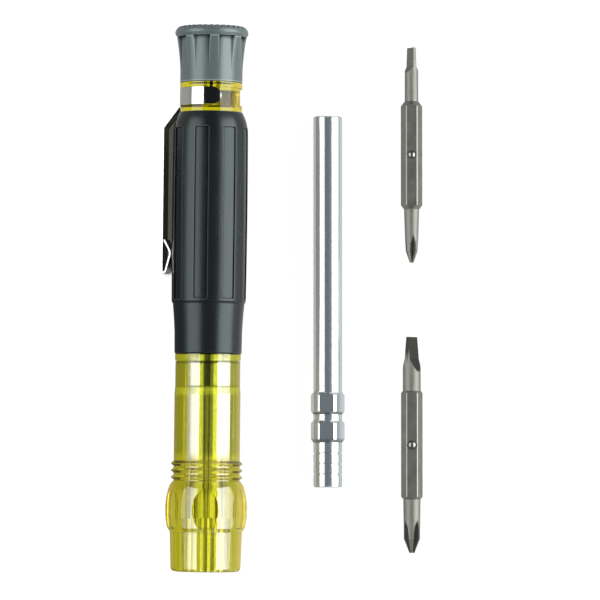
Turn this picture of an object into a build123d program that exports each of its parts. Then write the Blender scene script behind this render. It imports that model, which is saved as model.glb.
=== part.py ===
from build123d import *

import os
from math import cos, degrees, radians, sin, sqrt, tan

# Pocket screwdriver laid out on a flat surface: the handle with its pocket clip and spinning cap, the reversible
# shaft, and two double-ended bits. Millimetres, +Z up, origin under the middle of the layout's box.
# Handle, shaft and bits are each drawn standing on z 0 with their upper side towards -Y, then laid down along +Y.
# A turn given in degrees is counted from the upper side, and is positive towards +X once the piece lies down.

# Layout on the surface: (x, y) of each item's lower end, and how each lies
HANDLE_END = (-17.80, -56.60)
SHAFT_END = (7.50, -39.30)
SMALL_BIT_END = (25.00, 7.45)
LARGE_BIT_END = (25.00, -52.95)
HANDLE_LEAN = 0.65
SHAFT_ROLL = -5.0

# Handle core, from the nose end up
NOSE_END_RADIUS = 7.20
NOSE_RADIUS = 7.45
NOSE_LENGTH = 8.20
NOSE_ROUNDING = 0.90
SHOULDER_LENGTH = 0.75
BULB_RADIUS = 8.45
BULB_BELLY = 3.75
BULB_CROWN = 4.35
BULB_LOW_SAG = 0.45
BULB_HIGH_SAG = 0.60
BULB_NECK_LENGTH = 1.65
FLUTE_COUNT = 6
FLUTE_DEPTH = 0.60
FLUTE_SCOOP_RADIUS = 25.0
RING_COUNT = 3
RING_PITCH = 1.415
RING_HEIGHT = 0.58
RING_WIDTH = 1.05
RING_CREST = 0.12
BARREL_RADIUS = 6.82
BARREL_LENGTH = 13.80
STEP_LENGTH = 1.50
WAIST_RADIUS = 6.70
WAIST_LENGTH = 5.10
SEAM_WIDTH = 0.22
SEAM_DEPTH = 0.18
COLLAR_RADIUS = 6.80
COLLAR_LENGTH = 1.30
SPIGOT_RADIUS = 5.60
NECK_RADIUS = 6.43
NECK_BELOW_BAND = 1.40
NECK_ABOVE_BAND = 1.15

# Shaft socket and bore inside the core
SOCKET_DEPTH = 11.15
SOCKET_CLEARANCE = 0.06
GUIDE_END_DEPTH = 36.50
GUIDE_CLEARANCE = 0.16
GUIDE_TAPER = 1.50
GUIDE_GROOVE_COUNT = 6
GUIDE_GROOVE_WIDTH = 0.60
GUIDE_GROOVE_DEPTH = 0.35
BORE_CLEARANCE = 0.10
BORE_DEPTH = 88.0
MOUTH_CHAMFER = 0.50

# Grip sleeve
GRIP_LENGTH = 50.0
GRIP_FOOT_RADIUS = 6.95
GRIP_WAIST_RADIUS = 7.00
GRIP_WAIST_HEIGHT = 4.50
GRIP_FLARE_RADIUS = 7.40
GRIP_FLARE_HEIGHT = 10.35
GRIP_FLARE_SAG = 0.04
GRIP_STEP_INSET = 0.12
GRIP_STEP_RISE = 0.50
GRIP_RADIUS = 7.80
GRIP_SHOULDER_INSET = 0.08
GRIP_SHOULDER_DROP = 4.30
GRIP_TOP_RADIUS = 6.55
GRIP_EDGE = 0.25
PANEL_COUNT = 8
PANEL_TURN = -12.5
PANEL_WIDTH = 2.85
PANEL_DEPTH = 0.24
PANEL_FOOT_MARGIN = 0.40
PANEL_TOP_MARGIN = 3.25
PANEL_CORNER = 0.35

# Pocket clip, one strip of spring steel
CLIP_TURN = PANEL_TURN - 2 * 360.0 / PANEL_COUNT
BAND_HEIGHT = 3.50
BAND_THICKNESS = 0.40
BAND_HALF_SPAN = 122.5
BAND_PLAY = 0.02
BAND_END_PLAY = 0.06
ARM_THICKNESS = 0.45
ARM_WIDTH = 4.00
ARM_EDGE = 0.08
ARM_STANDOFF = 1.60
ARM_ELBOW_DROP = 4.30
ARM_LENGTH = 34.30
ARM_ELBOW_BEND = 1.00
ARM_ROOT_GAP = 0.08
CURL_BEND = 0.42
CURL_CONTACT_GAP = 0.08
CURL_LEAN = 15.0
CURL_CONTACT_BEND = 2.00
CURL_CORNER_ROUNDED_OFF = 0.20
CURL_TAIL_RISE = 2.60
CURL_TAIL_REACH = 1.40
HINGE_GAP = 0.03
NOTCH_PLAY = 0.20

# Spinning cap and its pivot
CAP_RADIUS = 6.45
CAP_GAP = 0.15
CAP_HEIGHT = 11.55
CAP_FLARE_START = 2.60
CAP_FLARE_SAG = 0.23
CAP_FLARE_RADIUS = 7.20
CAP_RIM_RADIUS = 7.57
CAP_RIM_UNDERSIDE = 2.15
CAP_RIM_EDGE_DROP = 1.50
CAP_RIM_EDGE_SLOPE = 0.12
CAP_RIM_INSET = 0.25
CAP_RIM_BEVEL = 0.05
CAP_TOP_RADIUS = 6.70
RIB_COUNT = 8
RIB_TURN = 6.0
RIB_WIDTH = 2.15
RIB_DRAFT = 14.0
RIB_ROOT_DEPTH = 1.00
SERRATION_COUNT = 32
SERRATION_RADIUS = 0.36
SERRATION_TILT = 20.0
SERRATION_MARGIN = 0.25
BOSS_RADIUS = 3.20
BOSS_HEIGHT = 3.40
BOSS_PLAY = 0.12
WASHER_THICKNESS = 0.30
WASHER_PLAY = 0.03
WEB_THICKNESS = 1.80
PIN_RADIUS = 1.20
PIN_DEPTH = 8.00
PIN_SHOULDER_RADIUS = 1.50
PIN_SHOULDER_PLAY = 0.05
PIN_HEAD_RADIUS = 2.80
PIN_HEAD_THICKNESS = 0.90
PIN_HEAD_PLAY = 0.08
RECESS_RADIUS = 4.20
DISC_RADIUS = 5.50
DISC_THICKNESS = 1.20
DISC_DISH = 0.30

# Reversible shaft
SHAFT_RADIUS = 3.00
SHAFT_LENGTH = 77.10
SHAFT_EDGE = 0.25
SHAFT_HEX = 6.35
SHAFT_HEX_CORNER_RADIUS = 3.50
HEX_COLLAR_START = 9.30
HEX_COLLAR_LENGTH = 4.60
HEX_COLLAR_CHAMFER = 0.62
HEX_COLLAR_GROOVE = 1.25
STAKE_RING_COUNT = 3
STAKE_RING_START = 2.70
STAKE_RING_PITCH = 2.17
STAKE_RING_DEPTH = 0.10
STAKE_RING_WIDTH = 0.55
SHAFT_BORE_DEPTH = 28.50
SHAFT_BORE_PLAY = 0.05
SHAFT_BORE_CHAMFER = 0.25
CATCH_DEPTH = 5.00
CATCH_WIDTH = 1.20
CATCH_RADIUS = 2.42

# What both bits share
BIT_LENGTH = 44.90
BIT_HEX = 4.00
BIT_HEX_CORNER_RADIUS = 2.24
BIT_HEX_START = 11.10
BIT_HEX_LENGTH = 22.60
BIT_HEX_SLOPE = 1.30
BALL_HEIGHT = 22.45
HOLE_FLOOR = 1.30
LIP_THICKNESS = 0.15
BALL_PLAY = 0.04
LIP_PLAY = 0.02
STAKE_MARK_WIDTH = 0.10
STAKE_MARK_DEPTH = 0.08
SPRING_TURNS = 4
SPRING_WIRE = 0.22
SPRING_PLAY = 0.06
SPRING_FLOOR_GAP = 0.02
SPRING_BALL_GAP = 0.08

# Each bit: shank radii, tips and turns; lengths run from each end of the bit
SMALL_BIT = dict(
    shank_radius=1.415, cross_shank_radius=1.58, cone_radius=1.32, cone_length=2.41, point_radius=0.43,
    cross_length=6.40, cross_bend=(0.56, 3.90), cross_depth_radius=0.22, cross_turn=12.0,
    blade_width=2.38, blade_thickness=0.60, blade_root=0.74, blade_length=4.00, blade_run_out=1.30,
    blade_side_length=5.60, blade_turn=-58.0, ball_radius=0.95, lip_radius=0.83,
)
LARGE_BIT = dict(
    shank_radius=1.87, cross_shank_radius=1.80, cone_radius=1.68, cone_length=2.93, point_radius=0.55,
    cross_length=7.00, cross_bend=(1.00, 5.20), cross_depth_radius=0.32, cross_turn=38.0,
    blade_width=3.18, blade_thickness=0.58, blade_root=1.20, blade_length=4.60, blade_run_out=2.80,
    blade_side_length=7.20, blade_turn=54.0, ball_radius=1.00, lip_radius=0.88,
)
FLUTE_HALF_ANGLE = 46.0

# Stations up the handle, each from the ones below it
SHOULDER_LOW = NOSE_LENGTH
BULB_LOW = SHOULDER_LOW + SHOULDER_LENGTH
BULB_MIDDLE = BULB_LOW + BULB_BELLY
BULB_HIGH = BULB_MIDDLE + BULB_CROWN
RINGS_LOW = BULB_HIGH + BULB_NECK_LENGTH
RINGS_HIGH = RINGS_LOW + RING_COUNT * RING_PITCH
STEP_LOW = RINGS_HIGH + BARREL_LENGTH
WAIST_LOW = STEP_LOW + STEP_LENGTH
SEAM_LOW = WAIST_LOW + WAIST_LENGTH
COLLAR_LOW = SEAM_LOW + SEAM_WIDTH
GRIP_LOW = COLLAR_LOW + COLLAR_LENGTH
GRIP_HIGH = GRIP_LOW + GRIP_LENGTH
BAND_LOW = GRIP_HIGH + NECK_BELOW_BAND
BAND_HIGH = BAND_LOW + BAND_HEIGHT
NECK_HIGH = BAND_HIGH + NECK_ABOVE_BAND
BOSS_HIGH = NECK_HIGH + BOSS_HEIGHT
CAP_LOW = NECK_HIGH + CAP_GAP
CAP_HIGH = CAP_LOW + CAP_HEIGHT
WEB_LOW = BOSS_HIGH + WASHER_THICKNESS + WASHER_PLAY
WEB_HIGH = WEB_LOW + WEB_THICKNESS
HEAD_LOW = WEB_HIGH + PIN_HEAD_PLAY
DISC_HIGH = CAP_HIGH - DISC_DISH
DISC_LOW = DISC_HIGH - DISC_THICKNESS

# Sizes that follow from the ones above
BORE_RADIUS = SHAFT_RADIUS + BORE_CLEARANCE
GUIDE_RADIUS = SHAFT_RADIUS + GUIDE_CLEARANCE
BAND_INNER_RADIUS = NECK_RADIUS - BAND_THICKNESS
HINGE_RADIUS = BAND_INNER_RADIUS + ARM_ROOT_GAP + ARM_THICKNESS / 2
HINGE_HEIGHT = BAND_LOW - ARM_THICKNESS / 2 - HINGE_GAP
ARM_RADIUS = GRIP_RADIUS + ARM_STANDOFF + ARM_THICKNESS / 2
ARM_FOOT = HINGE_HEIGHT - ARM_LENGTH
LAND_CONTACT = sqrt(GRIP_RADIUS**2 - (PANEL_WIDTH / 2) ** 2)
CONTACT_RADIUS = LAND_CONTACT + CURL_CONTACT_GAP + ARM_THICKNESS / 2

# How far cutting tools reach past the piece: well clear of it, and just over its edge
FAR = 20.0
OVERCUT = 1.0


def profile(*edges):
    """The closed face between the given edges and the axis."""
    return make_face(Curve() + list(edges))


def spin(*edges):
    """A solid turned about the standing axis from edges that close a half section."""
    return revolve(profile(*edges), Axis.Z)


def rz(radius, height):
    """A point of a half section."""
    return (radius, 0, height)


def turned(*points):
    """A solid turned from straight lines through (radius, height) points, closed on the axis."""
    ends = [(0, points[0][1]), *points, (0, points[-1][1])]
    corners = [p for n, p in enumerate(ends) if n == 0 or p != ends[n - 1]]
    return spin(Polyline(*[rz(*p) for p in corners], close=True))


def turned_ring(*points):
    """A ring turned from a closed outline of (radius, height) points that keeps off the axis."""
    return spin(Polyline(*[rz(*p) for p in points], close=True))


def rod(radius, low, high):
    """An upright cylinder between two heights."""
    return Pos(0, 0, low) * Cylinder(radius, high - low, align=(Align.CENTER, Align.CENTER, Align.MIN))


def tube(inner, outer, low, high):
    """An upright ring between two heights."""
    return rod(outer, low, high) - rod(inner, low, high)


def hexagon(flats, low, high):
    """An upright hexagonal bar with a flat facing the upper side."""
    outline = RegularPolygon(flats / 2, 6, major_radius=False)
    return Pos(0, 0, low) * extrude(outline, high - low)


def around(count, first_turn, cutter):
    """Copies of a cutter at equal turns about the standing axis."""
    return [Rot(0, 0, first_turn + n * 360.0 / count) * cutter for n in range(count)]


def upper_side(shape):
    """Turns something drawn in the XZ plane at +X round to the upper side, -Y."""
    return Rot(0, 0, -90) * shape


def lay_down(shape, end, height, lean=0.0, roll=0.0):
    """Lays a standing piece along +Y, its lower end at (x, y) and its axis at a height."""
    return Pos(end[0], end[1], height) * Rot(0, 0, -lean) * Rot(-90, 0, 0) * Rot(0, 0, roll) * shape


# --- Core ---


def core_outside():
    """The core's outer shape: nose, bulb, rings, barrel, waist, collar, spigot and neck."""
    belly = ThreePointArc(
        rz(BULB_RADIUS - BULB_LOW_SAG, BULB_LOW),
        rz(BULB_RADIUS, BULB_MIDDLE),
        rz(BULB_RADIUS - BULB_HIGH_SAG, BULB_HIGH),
    )
    neck = TangentArc(belly @ 1, rz(BARREL_RADIUS, RINGS_LOW), tangent=belly % 1)
    nose = Polyline(
        rz(0, 0),
        rz(NOSE_END_RADIUS, 0),
        rz(NOSE_RADIUS, SHOULDER_LOW),
        belly @ 0,
    )
    crests = []
    for n in range(RING_COUNT):
        middle = RINGS_LOW + (n + 0.5) * RING_PITCH
        crests.append(rz(BARREL_RADIUS, middle - RING_WIDTH / 2))
        crests.append(rz(BARREL_RADIUS + RING_HEIGHT, middle - RING_CREST / 2))
        crests.append(rz(BARREL_RADIUS + RING_HEIGHT, middle + RING_CREST / 2))
        crests.append(rz(BARREL_RADIUS, middle + RING_WIDTH / 2))
    upper = Polyline(
        neck @ 1,
        *crests,
        rz(BARREL_RADIUS, STEP_LOW),
        rz(WAIST_RADIUS, WAIST_LOW),
        rz(WAIST_RADIUS, SEAM_LOW),
        rz(WAIST_RADIUS - SEAM_DEPTH, SEAM_LOW),
        rz(WAIST_RADIUS - SEAM_DEPTH, COLLAR_LOW),
        rz(COLLAR_RADIUS, COLLAR_LOW),
        rz(COLLAR_RADIUS, GRIP_LOW),
        rz(SPIGOT_RADIUS, GRIP_LOW),
        rz(SPIGOT_RADIUS, GRIP_HIGH),
        rz(NECK_RADIUS, GRIP_HIGH),
        rz(NECK_RADIUS, BAND_LOW - BAND_END_PLAY),
        rz(BAND_INNER_RADIUS, BAND_LOW - BAND_END_PLAY),
        rz(BAND_INNER_RADIUS, BAND_HIGH + BAND_END_PLAY),
        rz(NECK_RADIUS, BAND_HIGH + BAND_END_PLAY),
        rz(NECK_RADIUS, NECK_HIGH),
        rz(BOSS_RADIUS, NECK_HIGH),
        rz(BOSS_RADIUS, BOSS_HIGH),
        rz(0, BOSS_HIGH),
        rz(0, 0),
    )
    outside = spin(nose, belly, neck, upper)
    nose_edge = outside.edges().filter_by(GeomType.CIRCLE).group_by(Axis.Z)[0]
    return fillet(nose_edge, NOSE_ROUNDING)


def bulb_flutes():
    """Six shallow scoops round the bulb, one facing the upper side."""
    axis_distance = BULB_RADIUS - FLUTE_DEPTH + FLUTE_SCOOP_RADIUS
    scoop = Pos(0, -axis_distance, 0) * rod(FLUTE_SCOOP_RADIUS, SHOULDER_LOW, RINGS_LOW)
    return around(FLUTE_COUNT, 0.0, scoop)


def core_hollow():
    """Twelve-point socket in the nose, grooved guide behind it, then the round bore."""
    flats = SHAFT_HEX + 2 * SOCKET_CLEARANCE
    points = hexagon(flats, 0, SOCKET_DEPTH) + Rot(0, 0, 30) * hexagon(flats, 0, SOCKET_DEPTH)
    socket = points & rod(SHAFT_HEX_CORNER_RADIUS + SOCKET_CLEARANCE, 0, SOCKET_DEPTH)
    guide = rod(GUIDE_RADIUS, 0, GUIDE_END_DEPTH)
    groove_reach = GUIDE_RADIUS + GUIDE_GROOVE_DEPTH
    groove = Pos(0, -groove_reach / 2, (SOCKET_DEPTH + GUIDE_END_DEPTH) / 2) * Box(
        GUIDE_GROOVE_WIDTH, groove_reach, GUIDE_END_DEPTH - SOCKET_DEPTH
    )
    taper = turned(
        (GUIDE_RADIUS, GUIDE_END_DEPTH),
        (BORE_RADIUS, GUIDE_END_DEPTH + GUIDE_TAPER),
        (BORE_RADIUS, BORE_DEPTH),
    )
    mouth = turned((SHAFT_HEX_CORNER_RADIUS + MOUTH_CHAMFER, 0), (SHAFT_HEX_CORNER_RADIUS, MOUTH_CHAMFER))
    pin_hole = rod(PIN_RADIUS, BOSS_HIGH - PIN_DEPTH, BOSS_HIGH)
    return [socket, guide, *around(GUIDE_GROOVE_COUNT, 0.0, groove), taper, mouth, pin_hole]


def clip_notch():
    """The gap in the neck's lower lip where the clip's arm leaves its groove."""
    width = ARM_WIDTH + 2 * NOTCH_PLAY
    notch = Pos(0, -BAND_INNER_RADIUS - FAR / 2, GRIP_HIGH) * Box(
        width, FAR, BAND_LOW - GRIP_HIGH, align=(Align.CENTER, Align.CENTER, Align.MIN)
    )
    return Rot(0, 0, CLIP_TURN) * notch


def core_body():
    body = core_outside()
    body -= bulb_flutes()
    body -= core_hollow()
    body -= clip_notch()
    return body


# --- Grip sleeve ---


def grip_solid(inset):
    """The grip's outer shape, drawn in by an inset, before its panels."""
    flare_middle_radius = (GRIP_WAIST_RADIUS + GRIP_FLARE_RADIUS) / 2 - GRIP_FLARE_SAG
    flare = ThreePointArc(
        rz(GRIP_WAIST_RADIUS - inset, GRIP_LOW + GRIP_WAIST_HEIGHT),
        rz(flare_middle_radius - inset, GRIP_LOW + (GRIP_WAIST_HEIGHT + GRIP_FLARE_HEIGHT) / 2),
        rz(GRIP_FLARE_RADIUS - inset, GRIP_LOW + GRIP_FLARE_HEIGHT),
    )
    step_high = GRIP_LOW + GRIP_FLARE_HEIGHT + GRIP_STEP_RISE
    shoulder_low = GRIP_HIGH - GRIP_SHOULDER_DROP
    body = ThreePointArc(
        rz(GRIP_RADIUS - GRIP_STEP_INSET - inset, step_high),
        rz(GRIP_RADIUS - inset, (step_high + shoulder_low) / 2),
        rz(GRIP_RADIUS - GRIP_SHOULDER_INSET - inset, shoulder_low),
    )
    shoulder = TangentArc(body @ 1, rz(GRIP_TOP_RADIUS - inset, GRIP_HIGH), tangent=body % 1)
    foot = Polyline(
        rz(0, GRIP_LOW),
        rz(GRIP_FOOT_RADIUS - GRIP_EDGE - inset, GRIP_LOW),
        rz(GRIP_FOOT_RADIUS - inset, GRIP_LOW + GRIP_EDGE),
        flare @ 0,
    )
    step = Line(flare @ 1, body @ 0)
    top = Polyline(shoulder @ 1, rz(0, GRIP_HIGH), rz(0, GRIP_LOW))
    return spin(foot, flare, step, body, shoulder, top)


def grip_sleeve():
    low = GRIP_LOW + GRIP_FLARE_HEIGHT + GRIP_STEP_RISE + PANEL_FOOT_MARGIN
    high = GRIP_HIGH - PANEL_TOP_MARGIN
    outline = Pos(0, (low + high) / 2) * RectangleRounded(PANEL_WIDTH, high - low, PANEL_CORNER)
    panel = extrude(Plane.XZ * outline, FAR)
    floor = grip_solid(PANEL_DEPTH)
    sleeve = grip_solid(0.0)
    for cutter in around(PANEL_COUNT, PANEL_TURN, panel):
        sleeve -= cutter - floor
    return sleeve - rod(SPIGOT_RADIUS, GRIP_LOW, GRIP_HIGH)


# --- Pocket clip ---


def clip_band():
    """The C-shaped band, with round ends, open at the side away from the arm."""
    inner = BAND_INNER_RADIUS + BAND_PLAY
    ring = tube(inner, inner + BAND_THICKNESS, BAND_LOW, BAND_HIGH)
    middle = (BAND_LOW + BAND_HIGH) / 2
    end_radius = BAND_HEIGHT / 2
    end_turn = BAND_HALF_SPAN - degrees(end_radius / NECK_RADIUS)
    sweep_points = [
        (FAR * sin(radians(turn)), -FAR * cos(radians(turn)))
        for turn in (-end_turn, -end_turn / 2, 0, end_turn / 2, end_turn)
    ]
    wedge = Pos(0, 0, BAND_LOW) * extrude(make_face(Polyline((0, 0), *sweep_points, close=True)), BAND_HEIGHT)
    ends = [
        Rot(0, 0, turn) * Pos(0, 0, middle) * Rot(90, 0, 0) * Cylinder(
            end_radius, FAR, align=(Align.CENTER, Align.CENTER, Align.MIN)
        )
        for turn in (-end_turn, end_turn)
    ]
    return Rot(0, 0, CLIP_TURN) * (ring & (wedge + ends))


def clip_arm():
    """The arm: a rounded root under the band, an elbow, a long straight run and the curl at its foot."""
    curl_corner = CONTACT_RADIUS - CURL_CORNER_ROUNDED_OFF
    foot = ARM_FOOT + CURL_BEND - CURL_BEND / tan(radians(CURL_LEAN / 2))
    contact = foot + (ARM_RADIUS - curl_corner) / tan(radians(CURL_LEAN))
    path = FilletPolyline(
        rz(HINGE_RADIUS, HINGE_HEIGHT),
        rz(ARM_RADIUS, HINGE_HEIGHT - ARM_ELBOW_DROP),
        rz(ARM_RADIUS, foot),
        rz(curl_corner, contact),
        rz(curl_corner + CURL_TAIL_REACH, contact + CURL_TAIL_RISE),
        radius=[ARM_ELBOW_BEND, CURL_BEND, CURL_CONTACT_BEND],
    )
    section = RectangleRounded(ARM_THICKNESS, ARM_WIDTH, ARM_EDGE)
    start = Plane(origin=path @ 0, x_dir=(0, 1, 0), z_dir=path % 0)
    strip = sweep(start * Rot(0, 0, 90) * section, path)
    root = Pos(HINGE_RADIUS, 0, HINGE_HEIGHT) * Rot(90, 0, 0) * Cylinder(ARM_THICKNESS / 2, ARM_WIDTH - 2 * ARM_EDGE)
    return Rot(0, 0, CLIP_TURN) * upper_side(strip + root)


# --- Cap and pivot ---


def rib_half_width(radius):
    """Half a rib's width at a distance from the cap's axis: the full width is at the cap's own radius."""
    return RIB_WIDTH / 2 - (radius - CAP_RADIUS) * tan(radians(RIB_DRAFT))


def cap_ribs():
    """Eight drafted ribs that follow the flare up to the rim."""
    rim_low = CAP_HIGH - CAP_RIM_UNDERSIDE
    flare_low = CAP_LOW + CAP_FLARE_START
    flare = ThreePointArc(
        rz(CAP_RADIUS, flare_low),
        rz((CAP_RADIUS + CAP_FLARE_RADIUS) / 2 - CAP_FLARE_SAG / 2, (flare_low + rim_low) / 2),
        rz(CAP_FLARE_RADIUS, rim_low),
    )
    root = CAP_RADIUS - RIB_ROOT_DEPTH
    rest = Polyline(flare @ 1, rz(root, rim_low), rz(root, flare_low), flare @ 0)
    ring = spin(flare, rest)
    foot = rib_half_width(root)
    crest = rib_half_width(CAP_RIM_RADIUS)
    plan = Polyline((-foot, -root), (foot, -root), (crest, -CAP_RIM_RADIUS), (-crest, -CAP_RIM_RADIUS), close=True)
    rib = Pos(0, 0, flare_low) * extrude(make_face(plan), rim_low - flare_low)
    return [ring & cutter for cutter in around(RIB_COUNT, RIB_TURN, rib)]


def cap_rim():
    """The rim's turned outline, from its underside over the round edge to the flat top."""
    rim_low = CAP_HIGH - CAP_RIM_UNDERSIDE
    edge = rz(CAP_RIM_RADIUS, CAP_HIGH - CAP_RIM_EDGE_DROP)
    under = Polyline(
        rz(0, rim_low),
        rz(CAP_FLARE_RADIUS - CAP_RIM_INSET, rim_low),
        rz(CAP_FLARE_RADIUS, rim_low + CAP_RIM_BEVEL),
        edge,
    )
    over = TangentArc(edge, rz(CAP_TOP_RADIUS, CAP_HIGH), tangent=rz(CAP_RIM_EDGE_SLOPE, 1))
    top = Polyline(over @ 1, rz(0, CAP_HIGH), rz(0, rim_low))
    return spin(under, over, top)


def cap_serrations():
    """Small grooves round the rim that start at its flat top and deepen outwards over its edge."""
    start = Pos(0, -DISC_RADIUS - SERRATION_MARGIN, CAP_HIGH + SERRATION_RADIUS)
    groove = start * Rot(90 + SERRATION_TILT, 0, 0) * Cylinder(
        SERRATION_RADIUS, FAR, align=(Align.CENTER, Align.CENTER, Align.MIN)
    )
    return around(SERRATION_COUNT, RIB_TURN, groove)


def spin_cap():
    rim_low = CAP_HIGH - CAP_RIM_UNDERSIDE
    cap = rod(CAP_RADIUS, CAP_LOW, rim_low) + cap_ribs() + cap_rim()
    cap -= cap_serrations()
    cap -= rod(BOSS_RADIUS + BOSS_PLAY, CAP_LOW, WEB_LOW)
    cap -= rod(PIN_SHOULDER_RADIUS + PIN_SHOULDER_PLAY, WEB_LOW, WEB_HIGH)
    cap -= rod(RECESS_RADIUS, WEB_HIGH, DISC_LOW)
    cap -= rod(DISC_RADIUS, DISC_LOW, CAP_HIGH)
    return cap


def cap_disc():
    """The plug over the pin's head, dished a little below the rim."""
    return rod(DISC_RADIUS, DISC_LOW, DISC_HIGH)


def cap_washer():
    washer_inner = PIN_SHOULDER_RADIUS + PIN_SHOULDER_PLAY
    return tube(washer_inner, BOSS_RADIUS, BOSS_HIGH, BOSS_HIGH + WASHER_THICKNESS)


def cap_pin():
    """Shoulder pin: a shank pressed into the core, the bearing the cap turns on, and a head."""
    return turned(
        (PIN_RADIUS, BOSS_HIGH - PIN_DEPTH),
        (PIN_RADIUS, BOSS_HIGH),
        (PIN_SHOULDER_RADIUS, BOSS_HIGH),
        (PIN_SHOULDER_RADIUS, HEAD_LOW),
        (PIN_HEAD_RADIUS, HEAD_LOW),
        (PIN_HEAD_RADIUS, HEAD_LOW + PIN_HEAD_THICKNESS),
    )


# --- Shaft ---


def hex_collar(low):
    """One hexagon collar with its corners turned down and its ends chamfered to the bar."""
    high = low + HEX_COLLAR_LENGTH
    cone = turned(
        (SHAFT_RADIUS, low),
        (SHAFT_HEX_CORNER_RADIUS, low + HEX_COLLAR_CHAMFER),
        (SHAFT_HEX_CORNER_RADIUS, high - HEX_COLLAR_CHAMFER),
        (SHAFT_RADIUS, high),
    )
    return cone & hexagon(SHAFT_HEX, low, high)


def shaft_bore():
    """The hexagon bore that takes a bit, with a chamfered mouth and a ring groove that catches the ball."""
    flats = BIT_HEX + 2 * SHAFT_BORE_PLAY
    mouth_radius = flats / 2 + 2 * SHAFT_BORE_CHAMFER
    mouth = turned((mouth_radius, 0), (flats / 2, mouth_radius - flats / 2))
    catch = rod(CATCH_RADIUS, CATCH_DEPTH - CATCH_WIDTH / 2, CATCH_DEPTH + CATCH_WIDTH / 2)
    return [hexagon(flats, 0, SHAFT_BORE_DEPTH), mouth, catch]


def shaft():
    bar = rod(SHAFT_RADIUS, 0, SHAFT_LENGTH)
    bar = chamfer(bar.edges().filter_by(GeomType.CIRCLE), SHAFT_EDGE)
    second_start = HEX_COLLAR_START + HEX_COLLAR_LENGTH + HEX_COLLAR_GROOVE
    bar += [hex_collar(HEX_COLLAR_START), hex_collar(second_start)]
    for n in range(STAKE_RING_COUNT):
        height = STAKE_RING_START + n * STAKE_RING_PITCH
        bar -= turned_ring(
            (SHAFT_RADIUS - STAKE_RING_DEPTH, height),
            (SHAFT_RADIUS + STAKE_RING_DEPTH, height - STAKE_RING_WIDTH),
            (SHAFT_RADIUS + STAKE_RING_DEPTH, height + STAKE_RING_WIDTH),
        )
    bar -= shaft_bore()
    bar -= [Pos(0, 0, SHAFT_LENGTH) * Rot(180, 0, 0) * cutter for cutter in shaft_bore()]
    return bar


# --- Bits ---


def bit_outside(sizes):
    """The bit's turned outline cut to a hexagon in the middle, standing on its cross end."""
    hex_high = BIT_HEX_START + BIT_HEX_LENGTH
    low_slope = BIT_HEX_SLOPE * (BIT_HEX_CORNER_RADIUS - sizes["cross_shank_radius"])
    high_slope = BIT_HEX_SLOPE * (BIT_HEX_CORNER_RADIUS - sizes["shank_radius"])
    outline = turned(
        (sizes["point_radius"], 0),
        (sizes["cone_radius"], sizes["cone_length"]),
        (sizes["cross_shank_radius"], BIT_HEX_START),
        (BIT_HEX_CORNER_RADIUS, BIT_HEX_START + low_slope),
        (BIT_HEX_CORNER_RADIUS, hex_high - high_slope),
        (sizes["shank_radius"], hex_high),
        (sizes["shank_radius"], BIT_LENGTH),
    )
    return outline & hexagon(BIT_HEX, 0, BIT_LENGTH)


def blade_cutters(sizes):
    """What the grinding takes off: two broad flats, and two narrow sides that set the blade's width."""
    shank = sizes["shank_radius"]
    reach = shank + OVERCUT
    past_tip = BIT_LENGTH + OVERCUT
    tip = sizes["blade_thickness"] / 2
    root = sizes["blade_root"] / 2
    root_low = BIT_LENGTH - sizes["blade_length"]
    run_out_low = root_low - sizes["blade_run_out"] * (reach - root) / (shank - root)
    flat = Polyline(
        rz(tip, BIT_LENGTH),
        rz(root, root_low),
        rz(reach, run_out_low),
        rz(reach, past_tip),
        rz(tip, past_tip),
        close=True,
    )
    half_width = sizes["blade_width"] / 2
    side_low = BIT_LENGTH - sizes["blade_side_length"]
    side = Polyline(
        rz(half_width, BIT_LENGTH),
        rz(shank, side_low),
        rz(reach, side_low),
        rz(reach, past_tip),
        rz(half_width, past_tip),
        close=True,
    )
    flat_cut = upper_side(extrude(make_face(flat), FAR / 2, both=True))
    side_cut = upper_side(extrude(make_face(side), FAR / 2, both=True))
    turn = sizes["blade_turn"]
    return [*around(2, turn, flat_cut), *around(2, turn + 90, side_cut)]


def carried_on(start, end):
    """The (radius, height) point one overcut in height past the end of a straight floor."""
    share = OVERCUT / abs(end[1] - start[1])
    return (end[0] + (end[0] - start[0]) * share, end[1] + (end[1] - start[1]) * share)


def vee(start, end):
    """A V-shaped cut, open towards +X, whose floor runs between two (radius, height) points."""
    half = FAR * tan(radians(FLUTE_HALF_ANGLE))
    section = make_face(Polyline((0, 0), (FAR, half), (FAR, -half), close=True))
    path = Vector(*rz(*end)) - Vector(*rz(*start))
    return extrude(Pos(*rz(*start)) * section, path.length, dir=path)


def cross_cutters(sizes):
    """Four V flutes, each steep where it runs out up the shank, that leave the crossed wings of the point."""
    bend = sizes["cross_bend"]
    run_out = carried_on(bend, (sizes["cross_shank_radius"], sizes["cross_length"]))
    point = carried_on(bend, (sizes["cross_depth_radius"], 0))
    flute = upper_side(vee(bend, run_out) + vee(bend, point))
    return around(4, sizes["cross_turn"], flute)


def ball_centre(sizes):
    """How far the ball's centre stands from the bit's axis: it touches the lip from inside, but for a little play."""
    under_lip = BIT_HEX / 2 - LIP_THICKNESS
    reach = sizes["lip_radius"] - LIP_PLAY
    return under_lip - sqrt(sizes["ball_radius"] ** 2 - reach**2)


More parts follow.
